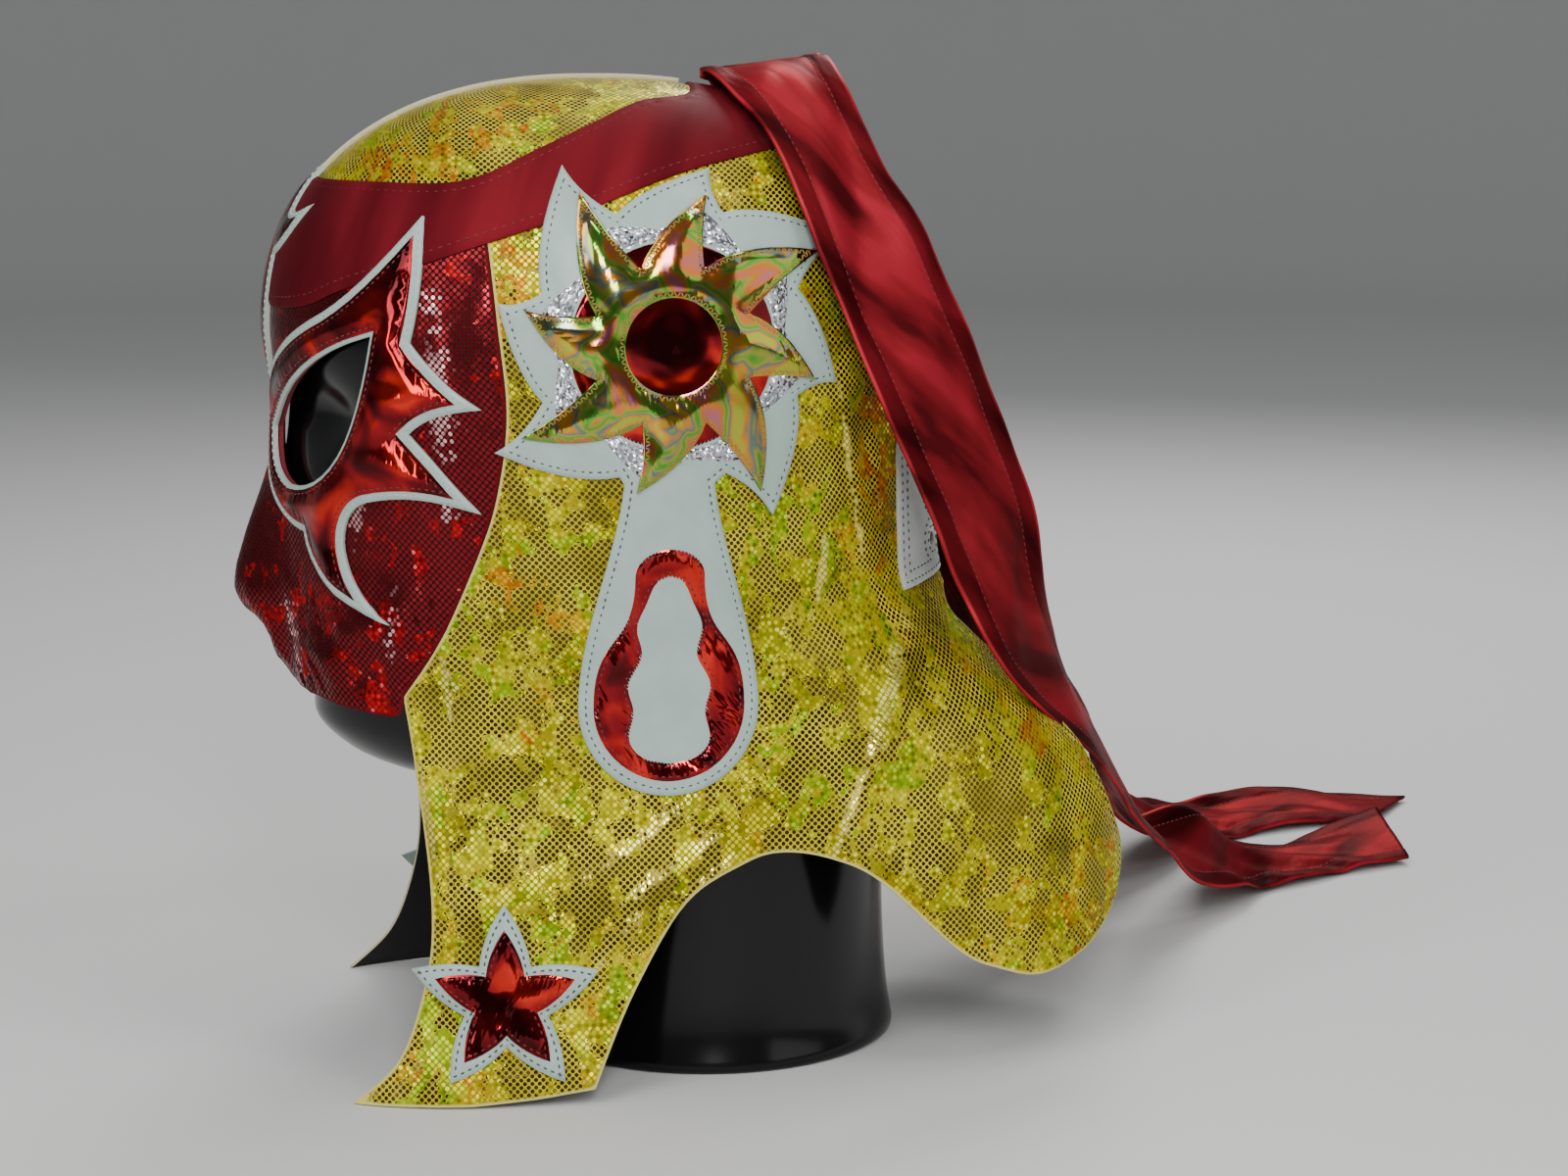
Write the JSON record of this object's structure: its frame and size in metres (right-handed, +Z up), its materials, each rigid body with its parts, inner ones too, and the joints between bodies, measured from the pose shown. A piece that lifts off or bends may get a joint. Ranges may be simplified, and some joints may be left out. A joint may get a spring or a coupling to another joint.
{
  "type": "lucha libre mask",
  "caption": "Full-head wrestling mask with long cloth flaps, a laced back and two satin tails, on a black display head.",
  "frame": {"origin": "middle of the display head's flat underside, on the table", "axes": "+Z up, the face looks along -Y, the wearer's left side is +X"},
  "size_m": [0.3583, 0.4669, 0.3075],
  "materials": {
    "display_head": "glossy black",
    "face_cloth": "dark red cloth with a fine foil dot grid",
    "gold_cloth": "gold cloth with a holographic foil dot grid",
    "headband_satin": "crimson satin",
    "tail_satin": "crimson satin",
    "lacing_vinyl": "glossy white vinyl",
    "white_vinyl": "satin white vinyl",
    "red_foil": "mirror red foil",
    "gold_foil": "holographic gold foil",
    "silver_glitter": "silver glitter"
  },
  "bodies": {
    "root": {"display_head": "display_head", "face_panel": "face_cloth", "headband": "headband_satin", "forehead_emblem_vinyl": "white_vinyl", "forehead_emblem_foil": "red_foil", "left_tail": "tail_satin", "right_tail": "tail_satin", "left_hood_panel": "gold_cloth", "left_lacing_strip": "lacing_vinyl", "left_eye_trim_vinyl": "white_vinyl", "left_eye_trim_foil": "red_foil", "left_sun_base_vinyl": "white_vinyl", "left_sun_disc_foil": "red_foil", "left_sun_rays_gold": "gold_foil", "left_sun_teeth_silver": "silver_glitter", "left_plume_foil": "red_foil", "left_star_base_vinyl": "white_vinyl", "left_star_foil": "red_foil", "right_hood_panel": "gold_cloth", "right_lacing_strip": "lacing_vinyl", "right_eye_trim_vinyl": "white_vinyl", "right_eye_trim_foil": "red_foil", "right_sun_base_vinyl": "white_vinyl", "right_sun_disc_foil": "red_foil", "right_sun_rays_gold": "gold_foil", "right_sun_teeth_silver": "silver_glitter", "right_plume_foil": "red_foil", "right_star_base_vinyl": "white_vinyl", "right_star_foil": "red_foil"}
  },
  "joints": []
}
